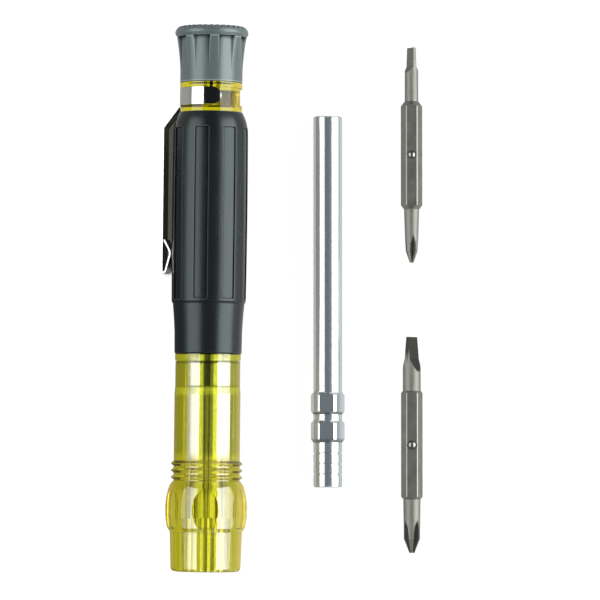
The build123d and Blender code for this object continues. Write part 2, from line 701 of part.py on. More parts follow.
def ball_hole(sizes):
    """The blind cross hole under the staked lip, opening on the upper side."""
    under_lip = BIT_HEX / 2 - LIP_THICKNESS
    pocket = rod(sizes["ball_radius"] + BALL_PLAY, -HOLE_FLOOR, under_lip)
    mouth = rod(sizes["lip_radius"], under_lip, BIT_HEX)
    mark = sizes["ball_radius"]
    stake = tube(mark, mark + STAKE_MARK_WIDTH, BIT_HEX / 2 - STAKE_MARK_DEPTH, BIT_HEX)
    return [Pos(0, 0, BALL_HEIGHT) * Rot(90, 0, 0) * cutter for cutter in (pocket, mouth, stake)]


def bit(sizes):
    body = bit_outside(sizes)
    body -= blade_cutters(sizes)
    body -= cross_cutters(sizes)
    body -= ball_hole(sizes)
    return body


def ball(sizes):
    return Pos(0, -ball_centre(sizes), BALL_HEIGHT) * Sphere(sizes["ball_radius"])


def spring(sizes):
    """A short coil between the hole's floor and the ball, axis square to the bit."""
    coil_radius = sizes["ball_radius"] - SPRING_PLAY - SPRING_WIRE / 2
    length = ball_centre(sizes) - sizes["ball_radius"] + HOLE_FLOOR
    rise = length - SPRING_WIRE - SPRING_FLOOR_GAP - SPRING_BALL_GAP
    path = Helix(rise / SPRING_TURNS, rise, coil_radius)
    start = Plane(origin=path @ 0, z_dir=path % 0)
    coil = sweep(start * Circle(SPRING_WIRE / 2), path, is_frenet=True)
    coil_low = SPRING_WIRE / 2 + SPRING_FLOOR_GAP
    return Pos(0, HOLE_FLOOR, BALL_HEIGHT) * Rot(90, 0, 0) * Pos(0, 0, coil_low) * coil


# --- Assembly ---


def assembly():
    """Every piece by its node name, laid out on the surface."""
    handle = {
        "core_body": core_body(),
        "grip_sleeve": grip_sleeve(),
        "clip_band": clip_band(),
        "clip_arm": clip_arm(),
        "spin_cap": spin_cap(),
        "cap_disc": cap_disc(),
        "cap_washer": cap_washer(),
        "cap_pivot_pin": cap_pin(),
    }
    laid = {
        name: lay_down(shape, HANDLE_END, 0, lean=HANDLE_LEAN)
        for name, shape in handle.items()
    }
    handle_height = -min(shape.bounding_box().min.Z for shape in laid.values())
    laid = {name: Pos(0, 0, handle_height) * shape for name, shape in laid.items()}
    lone_shaft = lay_down(shaft(), SHAFT_END, 0, roll=SHAFT_ROLL)
    laid["shaft"] = Pos(0, 0, -lone_shaft.bounding_box().min.Z) * lone_shaft
    for size, sizes, end in (("small", SMALL_BIT, SMALL_BIT_END), ("large", LARGE_BIT, LARGE_BIT_END)):
        laid[f"bit_{size}"] = lay_down(bit(sizes), end, BIT_HEX / 2)
        laid[f"detent_ball_{size}"] = lay_down(ball(sizes), end, BIT_HEX / 2)
        laid[f"detent_spring_{size}"] = lay_down(spring(sizes), end, BIT_HEX / 2)
    boxes = [shape.bounding_box() for shape in laid.values()]
    middle_x = (min(box.min.X for box in boxes) + max(box.max.X for box in boxes)) / 2
    middle_y = (min(box.min.Y for box in boxes) + max(box.max.Y for box in boxes)) / 2
    origin = Pos(-middle_x, -middle_y, 0)
    return {name: origin * shape for name, shape in laid.items()}, handle_height, (middle_x, middle_y)


os.makedirs("parts", exist_ok=True)
pieces, handle_axis_height, layout_middle = assembly()
for node, piece in pieces.items():
    export_step(piece, f"parts/{node}.step")
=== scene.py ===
import bmesh
import bpy
from math import atan2, cos, pi, radians, sin, tan
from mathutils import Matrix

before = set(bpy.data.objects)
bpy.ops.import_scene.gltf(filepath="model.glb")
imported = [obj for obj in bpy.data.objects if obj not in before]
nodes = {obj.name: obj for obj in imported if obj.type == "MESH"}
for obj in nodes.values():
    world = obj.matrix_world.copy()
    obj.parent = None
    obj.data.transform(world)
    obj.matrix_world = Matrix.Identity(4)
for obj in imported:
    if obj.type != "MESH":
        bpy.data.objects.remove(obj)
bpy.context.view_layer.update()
scene = bpy.context.scene


# --- Camera ---
# It hangs over the layout at the photograph's distance, its foot a little below the middle, and leans up
# the page. A long lens keeps the pieces nearly free of perspective.

CAMERA_PLACE = (0.00167, -0.0292, 0.8350)
CAMERA_AIM = (0.00167, -0.00008, 0.0030)
CAMERA_LENS = 240.0
FILM_WIDTH = 36.0

camera = bpy.data.objects.new("camera", bpy.data.cameras.new("camera"))
scene.collection.objects.link(camera)
camera.location = CAMERA_PLACE
camera.rotation_euler = (atan2(CAMERA_AIM[1] - CAMERA_PLACE[1], CAMERA_PLACE[2] - CAMERA_AIM[2]), 0, 0)
camera.data.lens = CAMERA_LENS
camera.data.sensor_width = FILM_WIDTH
scene.camera = camera
scene.view_settings.view_transform = "Standard"


# --- Surround ---
# A white surround behind the pieces. Metal mirrors the studio instead: a dim ceiling straight overhead
# between two grey walls. Through the clear plastic the same ceiling is paler.


class Wire:
    """One output of a shader tree. Arithmetic on it adds Math nodes, and node() adds any other node."""

    def __init__(self, tree, socket=None):
        self.tree = tree
        self.socket = socket

    def node(self, kind, settings=None, inputs=None, output=0, stops=None):
        made = self.tree.nodes.new("ShaderNode" + kind)
        for name, value in (settings or {}).items():
            setattr(made, name, value)
        if stops:
            ramp = made.color_ramp
            for place, colour in stops[2:]:
                ramp.elements.new(place)
            for element, (place, colour) in zip(ramp.elements, stops):
                element.position = place
                element.color = (*colour, 1.0) if isinstance(colour, tuple) else (colour,) * 3 + (1.0,)
        for name, value in (inputs or {}).items():
            if isinstance(value, Wire):
                self.tree.links.new(value.socket, made.inputs[name])
            elif isinstance(value, tuple) and len(value) == 3 and made.inputs[name].type == "RGBA":
                made.inputs[name].default_value = (*value, 1.0)
            else:
                made.inputs[name].default_value = value
        if isinstance(output, tuple):
            return [Wire(self.tree, made.outputs[each]) for each in output]
        return Wire(self.tree, made.outputs[output] if made.outputs else None)

    def maths(self, operation, *values):
        return self.node("Math", {"operation": operation}, dict(enumerate(values)))

    def __add__(self, other):
        return self.maths("ADD", self, other)

    def __sub__(self, other):
        return self.maths("SUBTRACT", self, other)

    def __rsub__(self, other):
        return self.maths("SUBTRACT", other, self)

    def __mul__(self, other):
        return self.maths("MULTIPLY", self, other)

    def __truediv__(self, other):
        return self.maths("DIVIDE", self, other)

    def __gt__(self, other):
        return self.maths("GREATER_THAN", self, other)

    def __lt__(self, other):
        return self.maths("LESS_THAN", self, other)

    def __abs__(self):
        return self.maths("ABSOLUTE", self)

    __radd__ = __add__
    __rmul__ = __mul__


def mixed(amount, first, second, blend="MIX"):
    """The first colour where amount is 0, and the second, or its blend with the first, where it is 1."""
    wire = next(value for value in (amount, first, second) if isinstance(value, Wire))
    # Its sockets share names, so the two for colours go by number, and so does the colour that comes out.
    return wire.node("Mix", {"data_type": "RGBA", "blend_type": blend}, {0: amount, 6: first, 7: second}, 2)


RAYS = ("Is Camera Ray", "Is Glossy Ray", "Is Transmission Ray")
WHITE = (1.0, 1.0, 1.0)
CEILING = (0.012, 0.014, 0.015)
LEFT_WALL = (0.34, 0.35, 0.34)
RIGHT_WALL = (0.62, 0.63, 0.61)
CEILING_THROUGH_PLASTIC = (0.10, 0.10, 0.10)
ROOM_FILL = (0.16, 0.16, 0.16)
# Degrees from straight overhead.
CEILING_LEFT = -31.0
CEILING_RIGHT = 38.0
CEILING_BLUR = 4.32
WALLS = (
    (CEILING_LEFT - CEILING_BLUR, LEFT_WALL),
    (CEILING_LEFT + CEILING_BLUR, CEILING),
    (CEILING_RIGHT - CEILING_BLUR, CEILING),
    (CEILING_RIGHT + CEILING_BLUR, RIGHT_WALL),
)

world = bpy.data.worlds.new("studio")
scene.world = world
world.use_nodes = True
world.node_tree.nodes.clear()
room = Wire(world.node_tree)
direction = room.node("TexCoord", output="Generated")
across, up = room.node("SeparateXYZ", inputs={0: direction}, output=("X", "Z"))
turn = room.maths("ARCTAN2", across, up) / (2 * pi) + 0.5
walls = room.node("ValToRGB", inputs={0: turn}, stops=[
    (0.5 + degrees / 360, colour) for degrees, colour in WALLS
])
in_view, in_gloss, in_plastic = room.node("LightPath", output=RAYS)
studio = mixed(in_plastic, walls, CEILING_THROUGH_PLASTIC, "LIGHTEN")
unseen_room = mixed(in_gloss + in_plastic, ROOM_FILL, studio)
surround = mixed(in_view, unseen_room, WHITE)
room.node("OutputWorld", inputs={
    "Surface": room.node("Background", inputs={"Color": surround, "Strength": 1.0}),
})


# --- Table ---
# A plain white sheet that the pieces lie on and cast their shadow on, with a painted deep shadow between
# grip and clip. Metal mirrors it as a painted grey glow, with painted shade darkest to the left below the
# clip, and plastic lets it through white.


def new_finish(name):
    """An empty material and a wire to build it with."""
    made = bpy.data.materials.new(name)
    made.use_nodes = True
    made.node_tree.nodes.clear()
    return made, Wire(made.node_tree)


def graded(distance, span, zero, stops):
    """A colour ramp along a distance in metres. Stops are in millimetres, span is the whole ramp's length
    in millimetres, and zero is the part of it that lies before 0."""
    return distance.node("ValToRGB", inputs={0: distance * (1000.0 / span) + zero}, stops=[
        (zero + millimetres / span, colour) for millimetres, colour in stops
    ])


def layered(amount, below, above):
    """Two shaders, the second over the first by an amount."""
    return below.node("MixShader", inputs={0: amount, 1: below, 2: above})


MIDDLE = 0.5
TABLE_HALF = 1.5
TABLE_DROP = 0.00002
PAPER = (0.72, 0.72, 0.70)
PAPER_THROUGH_PLASTIC = (0.80, 0.80, 0.80)
MIRRORED_LEFT = (0.09, 0.09, 0.085)
MIRRORED_TOP_LEFT = (0.42, 0.42, 0.40)
MIRRORED_RIGHT = (0.60, 0.60, 0.58)
TABLE_GLOW = 0.85
TABLE_WHITE = 1.11
TABLE_SPAN = 100.0
# The painted deep shadow lies along the arm of the clip, in millimetres. Past the arm's elbow its edge
# leans in to the neck.
PAINTED_DEEP_SHADOW = (0.085, 0.082, 0.068)
SHADE_LEFT = ((-26.95, 0.0), (-26.65, 1.0))
SHADE_RIGHT = ((-13.5, 1.0), (-12.5, 0.0))
SHADE_LENGTH = ((5.0, 0.0), (6.0, 1.0), (39.0, 1.0), (40.0, 0.0))
ELBOW_Y = 0.0353
ELBOW_LEAN = 0.765

sheet = bmesh.new()
bmesh.ops.create_grid(sheet, x_segments=1, y_segments=1, size=TABLE_HALF)
bmesh.ops.translate(sheet, verts=sheet.verts, vec=(0, 0, -TABLE_DROP))
table = bpy.data.objects.new("table", bpy.data.meshes.new("table"))
sheet.to_mesh(table.data)
sheet.free()
scene.collection.objects.link(table)

paper, page = new_finish("white_paper")
page_place = page.node("TexCoord", output="Object")
page_x, page_y = page.node("SeparateXYZ", inputs={0: page_place}, output=("X", "Y"))
past_elbow = page.maths("MAXIMUM", page_y - ELBOW_Y, 0.0) * ELBOW_LEAN
# A painted shadow between grip and clip, darkening the sheet for every ray.
painted_shadow_under_clip = (
    graded(page_x - past_elbow, TABLE_SPAN, MIDDLE, SHADE_LEFT)
    * graded(page_x, TABLE_SPAN, MIDDLE, SHADE_RIGHT)
    * graded(page_y, TABLE_SPAN, 0.0, SHADE_LENGTH)
)
painted_shadow = mixed(painted_shadow_under_clip, WHITE, PAINTED_DEEP_SHADOW)
# What metal mirrors of the sheet is a painted glow: grey, with painted shade darkest to the left below the
# clip.
painted_left_shade = graded(page_y, TABLE_SPAN, 0.0, ((30.0, MIRRORED_LEFT), (39.0, MIRRORED_TOP_LEFT)))
leftness = graded(page_x, TABLE_SPAN, MIDDLE, ((-28.0, 1.0), (-8.0, 0.0)))
painted_mirror_tone = mixed(leftness, MIRRORED_RIGHT, painted_left_shade)
lit = page.node("BsdfDiffuse", inputs={"Color": mixed(1.0, PAPER, painted_shadow, "MULTIPLY")})
white = page.node("Emission", inputs={"Color": painted_shadow, "Strength": TABLE_WHITE})
painted_mirror_glow = page.node("Emission", inputs={
    "Color": mixed(1.0, painted_mirror_tone, painted_shadow, "MULTIPLY"),
    "Strength": 1.0,
})
behind_plastic = page.node("Emission", inputs={"Color": PAPER_THROUGH_PLASTIC, "Strength": 1.0})
page_view, page_gloss, page_plastic = page.node("LightPath", output=RAYS)
looked_at = layered(page_view * TABLE_GLOW, lit, white)
page.node("OutputMaterial", inputs={
    "Surface": layered(page_plastic, layered(page_gloss, looked_at, painted_mirror_glow), behind_plastic),
})
table.data.materials.append(paper)


# --- Lamps ---
# Two long soft panels, one each side, run the length of the pieces and give every round bar its two white
# bands.

PANEL_DISTANCE = 0.70
PANEL_LENGTH = 1.10
# Each panel's two long edges, in degrees from straight overhead, and its brightness.
PANELS = (("left", -74.0, -28.0, 2.6), ("right", 35.0, 87.0, 4.0))

for side, low, high, strength in PANELS:
    middle = radians((low + high) / 2)
    width = 2 * PANEL_DISTANCE * tan(radians((high - low) / 2))
    panel = bpy.data.objects.new(f"panel_{side}", bpy.data.lights.new(f"panel_{side}", "AREA"))
    panel.data.shape = "RECTANGLE"
    panel.data.size = width
    panel.data.size_y = PANEL_LENGTH
    panel.data.energy = strength * pi * width * PANEL_LENGTH
    panel.location = (PANEL_DISTANCE * sin(middle), 0, PANEL_DISTANCE * cos(middle))
    panel.rotation_euler = (0, middle, 0)
    panel.visible_camera = False
    scene.collection.objects.link(panel)


# --- Handle core ---
# One clear yellow moulding from the fluted nose to the neck under the cap, polished in the mould. The
# colour is in the plastic, so thick places are deeper. Light and shade are also painted into its colour:
# lighter and darker stretches along it, upright bands across it, dark lines at the seams, in the bore and
# on the socket, and amber along its sides.


def put_on(names, material, **ends):
    """Ends a material, and gives it to CAD nodes."""
    ends["Surface"].node("OutputMaterial", inputs=ends)
    for name in names:
        nodes[name].material_slots[0].material = material


# The core's axis: a point on it, and how far it leans to the right for each metre up the page.
AXIS_X = -0.017856
AXIS_Y = -0.056306
AXIS_Z = 0.007999
AXIS_LEAN = 0.011345

CLEAR_NOSE = (1.0, 1.0, 0.74)
CLEAR_BULB = (0.970, 0.965, 0.60)
PAINTED_BULB_TOP_SHADE = (0.760, 0.775, 0.44)
CLEAR_BARREL = (0.862, 0.888, 0.52)
CLEAR_STEP = (0.925, 0.965, 0.58)
CLEAR_WAIST = (0.800, 0.825, 0.46)
CLEAR_NECK = (1.0, 0.94, 0.30)
PAINTED_SEAM_SHADE = (0.22, 0.22, 0.10)
PAINTED_EDGE_AMBER = (0.56, 0.44, 0.10)
DEPTH_YELLOW = (0.915, 0.900, 0.07)
DEPTH_DENSITY = 300.0
PLASTIC_IOR = 1.49

# Up the page, in millimetres from the middle of the layout: the tint of each stretch, lighter or darker as
# painted light and shade and with painted shade at the two seams, how much of the painted crosswise banding
# it takes, how glossy its skin is, and how much painted amber it takes.
CORE_SPAN = 100.0
CORE_START = 0.6
CORE_PAINTED_TINTS = (
    (-48.00, CLEAR_NOSE),
    (-45.00, CLEAR_BULB),
    (-41.00, CLEAR_BULB),
    (-39.00, PAINTED_BULB_TOP_SHADE),
    (-37.80, PAINTED_BULB_TOP_SHADE),
    (-37.20, CLEAR_BULB),
    (-32.50, CLEAR_BULB),
    (-31.50, CLEAR_BARREL),
    (-19.90, CLEAR_BARREL),
    (-19.50, CLEAR_STEP),
    (-18.30, CLEAR_STEP),
    (-18.15, PAINTED_SEAM_SHADE),
    (-18.00, PAINTED_SEAM_SHADE),
    (-17.85, CLEAR_WAIST),
    (-13.30, CLEAR_WAIST),
    (-13.18, PAINTED_SEAM_SHADE),
    (-12.98, PAINTED_SEAM_SHADE),
    (-12.85, CLEAR_STEP),
    (30.00, CLEAR_STEP),
    (36.00, CLEAR_NECK),
)
CORE_PAINTED_BANDING = ((-48.0, 0.0), (-45.0, 0.55), (-33.0, 0.7), (-31.5, 1.0), (30.0, 1.0), (36.0, 0.0))
CORE_GLOSS = (
    (-48.50, 0.11),
    (-43.00, 0.12),
    (-33.00, 0.08),
    (-31.50, 0.25),
    (-20.00, 0.25),
    (-19.50, 0.10),
    (-18.30, 0.10),
    (-18.15, 0.01),
    (-18.00, 0.01),
    (-17.85, 0.25),
    (-13.30, 0.25),
    (-13.18, 0.01),
    (-12.98, 0.01),
    (-12.85, 0.10),
    (-11.00, 0.0),
)
CORE_AMBER_PAINT = (
    (-48.40, 0.0),
    (-48.15, 0.16),
    (-47.65, 0.16),
    (-47.40, 0.0),
    (-38.00, 0.0),
    (-37.70, 0.13),
    (-33.50, 0.13),
    (-33.20, 0.0),
)
STEP_RING = ((-20.00, 0.0), (-19.70, 1.0), (-18.30, 1.0), (-18.15, 0.0))
STEP_BANDING_CUT = 0.60
NOSE_ONLY = ((-47.5, 1.0), (-45.5, 0.0))

# Across, in millimetres from the axis: the painted upright bands of light and shade that stand for what
# shows through the wall, the glossy band down the middle, and the painted amber edges.
ACROSS_SPAN = 20.0
PAINTED_BAND_TINTS = (
    (-7.60, (0.84, 0.74, 0.50)),
    (-6.60, (0.66, 0.63, 0.50)),
    (-3.80, (0.70, 0.70, 0.56)),
    (-3.28, (0.97, 0.97, 0.88)),
    (-2.00, WHITE),
    (-1.54, (0.73, 0.765, 1.0)),
    (-0.28, (0.73, 0.765, 1.0)),
    (-0.08, WHITE),
    (0.12, WHITE),
    (0.32, (0.75, 0.785, 1.0)),
    (1.40, (0.75, 0.785, 1.0)),
    (2.00, WHITE),
    (4.40, (1.0, 1.0, 0.92)),
    (5.30, (1.0, 1.0, 0.68)),
    (7.00, (0.88, 0.83, 0.55)),
)
GLOSSY_BAND = ((-3.64, 0.10), (-3.10, 1.0), (3.80, 1.0), (5.20, 0.15))
NECK_AMBER_PAINT = ((4.0, 0.0), (5.6, 0.5))
EDGE_SPAN = 10.0
EDGE_AMBER_PAINT = ((6.0, 0.0), (7.4, 0.55))

# Painted shade on the walls of the bore and of the socket, as they show through the plastic. Their stops go
# from the middle of a rib, 0, to the middle of a groove, 1.
GROOVES = 6.0
FLATS = 12.0
GROOVE_SHADE = (0.16, 0.17, 0.06)
FLAT_SHADE = (0.55, 0.56, 0.40)
GROOVE_EDGES = [(0.740, WHITE), (0.790, GROOVE_SHADE), (0.910, GROOVE_SHADE), (0.945, WHITE)]
GROOVE_FLOORS = [(0.740, WHITE), (0.790, GROOVE_SHADE)]
FLAT_FACES = [(0.30, WHITE), (0.80, FLAT_SHADE)]
BORE_REACH = 0.0037
GUIDE_LOW = -0.04516
WAIST_LOW = -0.0180
NECK_LOW = 0.0355

# Fine scuffs on the outside, and darker streaks drawn out along the nose.
SCUFFS = {"Scale": 900.0, "Detail": 4.0, "Roughness": 0.6}
CORE_SMOOTH = 0.004
CORE_SCUFFED = 0.012
POLISH_ROUGHNESS = 0.07
STREAK_DARK = (0.78, 0.78, 0.62)
NOSE_STREAK_NOISE = {"Scale": 1500.0, "Detail": 1.0}
STREAK_DRAW = (1.0, 0.02, 1.0)
STREAK_STOPS = [(0.44, STREAK_DARK), (0.54, WHITE)]

clear, core = new_finish("clear_yellow")
core_place = core.node("TexCoord", output="Object")
core_x, core_y, core_z = core.node("SeparateXYZ", inputs={0: core_place}, output=("X", "Y", "Z"))
off_axis = core_x - AXIS_X - (core_y - AXIS_Y) * AXIS_LEAN
over_axis = core_z - AXIS_Z
from_axis = core.maths("SQRT", off_axis * off_axis + over_axis * over_axis)
round_axis = core.maths("ARCTAN2", off_axis, over_axis)


def waves(count):
    """From 0 to 1 and back, so many times round the core's axis."""
    return core.maths("COSINE", round_axis * count) * 0.5 + 0.5


step_ring = graded(core_y, CORE_SPAN, CORE_START, STEP_RING)
# Painted upright bands of light and shade across the core, weaker on the step ring.
painted_banding = graded(core_y, CORE_SPAN, CORE_START, CORE_PAINTED_BANDING) * (1.0 - STEP_BANDING_CUT * step_ring)
painted_bands = mixed(painted_banding, WHITE, graded(off_axis, ACROSS_SPAN, MIDDLE, PAINTED_BAND_TINTS))

# Painted shade round the bore: along the guide's grooves and on the socket's flats.
in_groove = waves(GROOVES)
on_flat = waves(FLATS)
painted_guide_shade = mixed(
    core_y > WAIST_LOW,
    core.node("ValToRGB", inputs={0: in_groove}, stops=GROOVE_EDGES),
    core.node("ValToRGB", inputs={0: in_groove}, stops=GROOVE_FLOORS),
)
socket = core.node("ValToRGB", inputs={0: on_flat}, stops=FLAT_FACES)
painted_bore_shade = mixed((from_axis < BORE_REACH) * (1.0 - step_ring), WHITE, mixed(core_y > GUIDE_LOW, socket, painted_guide_shade))

drawn_out = core.node("Mapping", inputs={"Vector": core_place, "Scale": STREAK_DRAW})
nose_noise = core.node("TexNoise", inputs={"Vector": drawn_out, **NOSE_STREAK_NOISE})
streak_lines = core.node("ValToRGB", inputs={0: nose_noise}, stops=STREAK_STOPS)
streaks = mixed(graded(core_y, CORE_SPAN, CORE_START, NOSE_ONLY), WHITE, streak_lines)

# The core's colour: its tint, lighter and darker along it as painted light and shade, times the painted
# bands, the painted shade round the bore and the nose's streaks.
painted_core_tint = graded(core_y, CORE_SPAN, CORE_START, CORE_PAINTED_TINTS)
for darker in (painted_bands, painted_bore_shade, streaks):
    painted_core_tint = mixed(1.0, painted_core_tint, darker, "MULTIPLY")
scuffs = core.node("TexNoise", inputs={"Vector": core_place, **SCUFFS})
plastic = core.node("BsdfPrincipled", inputs={
    "Base Color": painted_core_tint,
    "Roughness": CORE_SMOOTH + CORE_SCUFFED * scuffs,
    "IOR": PLASTIC_IOR,
    "Transmission Weight": 1.0,
})
polish = core.node("BsdfAnisotropic", inputs={"Color": WHITE, "Roughness": POLISH_ROUGHNESS})
glossy_band = graded(off_axis, ACROSS_SPAN, MIDDLE, GLOSSY_BAND)
gloss = graded(core_y, CORE_SPAN, CORE_START, CORE_GLOSS) * glossy_band
# A painted amber layer on the core's sides, over the rings, on a band of the nose and on the neck's sides.
# It stands in for the colour that light takes through the plastic there.
painted_amber = core.node("BsdfDiffuse", inputs={"Color": PAINTED_EDGE_AMBER})
painted_amber_stretches = mixed(
    core_y > NECK_LOW,
    graded(core_y, CORE_SPAN, CORE_START, CORE_AMBER_PAINT),
    graded(off_axis, ACROSS_SPAN, MIDDLE, NECK_AMBER_PAINT),
)
painted_amber_edges = graded(abs(off_axis), EDGE_SPAN, 0.0, EDGE_AMBER_PAINT)
put_on(
    ("core_body",),
    clear,
    Surface=layered(core.maths("MAXIMUM", painted_amber_edges, painted_amber_stretches), layered(gloss, plastic, polish), painted_amber),
    Volume=core.node("VolumeAbsorption", inputs={"Color": DEPTH_YELLOW, "Density": DEPTH_DENSITY}),
)


# --- Grip sleeve ---
# Black cushion plastic moulded over the core, with long recessed panels and a fine spark-eroded grain. Its
# sharp corners are a little paler, partly from handling and partly a painted highlight, and painted shade
# darkens the steps round its panels.


FEELERS = 8
CORNER_STOPS = [(0.55, 1.0), (0.94, 0.0)]


def corners(finish, reach):
    """1 on sharp corners and 0 on flat faces, from how much of the piece lies within reach behind them."""
    bulk = finish.node("AmbientOcclusion", {"samples": FEELERS, "inside": True}, {"Distance": reach}, "AO")
    return finish.node("ValToRGB", inputs={0: bulk}, stops=CORNER_STOPS)


def painted_crease_shade(finish, reach, stops):
    """How much painted shade lies in the creases, from how open the surface is within reach."""
    openness = finish.node("AmbientOcclusion", {"samples": FEELERS}, {"Distance": reach}, "AO")
    return finish.node("ValToRGB", inputs={0: openness}, stops=stops)


GRIP_BLACK = (0.0075, 0.0092, 0.0098)
GRIP_WORN = (0.0110, 0.0135, 0.0142)
GRIP_EDGE_WEAR_AND_HIGHLIGHT = (0.050, 0.056, 0.058)
GRIP_EDGE_REACH = 0.0003
GRIP_PAINTED_SHADE = (0.004, 0.005, 0.005)
GRIP_CREASE_REACH = 0.0005
GRIP_CREASE_STOPS = [(0.62, 0.8), (0.94, 0.0)]
GRIP_SHEEN = (0.80, 0.95, 0.96)
GRIP_GRAIN = {"Scale": 2600.0, "Detail": 3.0, "Roughness": 0.55}
GRIP_GRAIN_BUMP = {"Strength": 0.60, "Distance": 0.00005}
GRIP_PATCHES = {"Scale": 140.0, "Detail": 3.0}
GRIP_SMOOTH = 0.20
GRIP_ROUGHER = 0.06

cushion, grip = new_finish("black_cushion")
grip_place = grip.node("TexCoord", output="Object")
grip_grain = grip.node("TexNoise", inputs={"Vector": grip_place, **GRIP_GRAIN})
grip_patches = grip.node("TexNoise", inputs={"Vector": grip_place, **GRIP_PATCHES})
grip_black = mixed(grip_patches, GRIP_BLACK, GRIP_WORN)
# Sharp corners painted paler: partly wear, partly a painted highlight.
rubber = grip.node("BsdfPrincipled", inputs={
    "Base Color": mixed(corners(grip, GRIP_EDGE_REACH), grip_black, GRIP_EDGE_WEAR_AND_HIGHLIGHT),
    "Specular Tint": GRIP_SHEEN,
    "Roughness": GRIP_SMOOTH + GRIP_ROUGHER * grip_patches + GRIP_ROUGHER * grip_grain,
    "Normal": grip.node("Bump", inputs={**GRIP_GRAIN_BUMP, "Height": grip_grain}),
})
# Painted shade in the creases round the panels.
grip_painted_shade = grip.node("BsdfDiffuse", inputs={"Color": GRIP_PAINTED_SHADE})
grip_shade_amount = painted_crease_shade(grip, GRIP_CREASE_REACH, GRIP_CREASE_STOPS)
put_on(("grip_sleeve",), cushion, Surface=layered(grip_shade_amount, rubber, grip_painted_shade))


# --- Pocket clip ---
# One strip of spring steel, polished and bright plated: the band snaps into the neck's groove, the arm runs
# down the grip. Handling leaves it slightly uneven.

CLIP_STEEL = (0.70, 0.71, 0.71)
CLIP_HAZE = {"Scale": 500.0, "Detail": 4.0}
CLIP_SMOOTH = 0.05
CLIP_HANDLED = 0.06

clip_steel, clip = new_finish("polished_spring_steel")
clip_place = clip.node("TexCoord", output="Object")
clip_haze = clip.node("TexNoise", inputs={"Vector": clip_place, **CLIP_HAZE})
put_on(("clip_band", "clip_arm"), clip_steel, Surface=clip.node("BsdfPrincipled", inputs={
    "Base Color": CLIP_STEEL,
    "Metallic": 1.0,
    "Roughness": CLIP_SMOOTH + CLIP_HANDLED * clip_haze,
}))


# --- Spinning cap ---
# Grey satin moulding with eight ribs and a serrated rim. Its edges are paler, partly rubbed and partly a
# painted highlight, and painted shade darkens its creases. A disc of the same plastic closes it over the
# pin.

CAP_GREY = (0.078, 0.104, 0.105)
CAP_PALE = (0.096, 0.126, 0.127)
CAP_EDGE_WEAR_AND_HIGHLIGHT = (0.26, 0.32, 0.32)
CAP_EDGE_REACH = 0.0004
CAP_PAINTED_SHADE = (0.016, 0.022, 0.022)
CAP_CREASE_REACH = 0.0010
CAP_CREASE_STOPS = [(0.60, 0.9), (0.95, 0.0)]
CAP_SHEEN = (0.82, 0.92, 0.91)
CAP_SHEEN_LEVEL = 0.9
CAP_GRAIN = {"Scale": 3600.0, "Detail": 3.0}
CAP_GRAIN_BUMP = {"Strength": 0.25, "Distance": 0.00003}
CAP_PATCHES = {"Scale": 170.0, "Detail": 3.0}
CAP_SATIN = 0.26
CAP_DULLER = 0.10

satin, cap = new_finish("grey_satin_plastic")
cap_place = cap.node("TexCoord", output="Object")
cap_grain = cap.node("TexNoise", inputs={"Vector": cap_place, **CAP_GRAIN})
cap_patches = cap.node("TexNoise", inputs={"Vector": cap_place, **CAP_PATCHES})
cap_grey = mixed(cap_patches, CAP_GREY, CAP_PALE)
# Edges painted paler: partly wear, partly a painted highlight.
moulding = cap.node("BsdfPrincipled", inputs={
    "Base Color": mixed(corners(cap, CAP_EDGE_REACH), cap_grey, CAP_EDGE_WEAR_AND_HIGHLIGHT),
    "Roughness": CAP_SATIN + CAP_DULLER * cap_patches,
    "Specular IOR Level": CAP_SHEEN_LEVEL,
    "Specular Tint": CAP_SHEEN,
    "Normal": cap.node("Bump", inputs={**CAP_GRAIN_BUMP, "Height": cap_grain}),
})
# Painted shade in the creases between the ribs and under the rim.
cap_painted_shade = cap.node("BsdfDiffuse", inputs={"Color": CAP_PAINTED_SHADE})
cap_shade_amount = painted_crease_shade(cap, CAP_CREASE_REACH, CAP_CREASE_STOPS)
put_on(("spin_cap", "cap_disc"), satin, Surface=layered(cap_shade_amount, moulding, cap_painted_shade))


# --- Pivot pin, springs and washer ---
# Inside the cap a plain turned steel shoulder pin and a thin washer of undyed plastic let it spin. The
# springs under the two balls are drawn from the same plain steel.

PLAIN_STEEL = (0.52, 0.52, 0.51)
DRAWING_MARKS = {"Scale": 2500.0, "Detail": 3.0}
DRAWN_SMOOTH = 0.22
DRAWN_MARKED = 0.16
WASHER_DARK = (0.74, 0.73, 0.66)
WASHER_PALE = (0.82, 0.81, 0.75)
WASHER_CLOUD = {"Scale": 900.0, "Detail": 2.0}
WASHER_ROUGHNESS = 0.45

plain_steel, pin = new_finish("plain_steel")
pin_place = pin.node("TexCoord", output="Object")
drawing_marks = pin.node("TexNoise", inputs={"Vector": pin_place, **DRAWING_MARKS})
put_on(
    ("cap_pivot_pin", "detent_spring_small", "detent_spring_large"),
    plain_steel,
    Surface=pin.node("BsdfPrincipled", inputs={
        "Base Color": PLAIN_STEEL,
        "Metallic": 1.0,
        "Roughness": DRAWN_SMOOTH + DRAWN_MARKED * drawing_marks,
    }),
)

natural, washer = new_finish("natural_washer_plastic")
washer_place = washer.node("TexCoord", output="Object")
washer_cloud = washer.node("TexNoise", inputs={"Vector": washer_place, **WASHER_CLOUD})
put_on(("cap_washer",), natural, Surface=washer.node("BsdfPrincipled", inputs={
    "Base Color": mixed(washer_cloud, WASHER_DARK, WASHER_PALE),
    "Roughness": WASHER_ROUGHNESS,
}))


# --- Reversible shaft ---
# A steel bar turned from hexagon stock and bright plated. Fine turning marks run round it, a painted grey
# reflection runs down its left flank, and a painted dark line of shade lies in the corner under each
# collar.

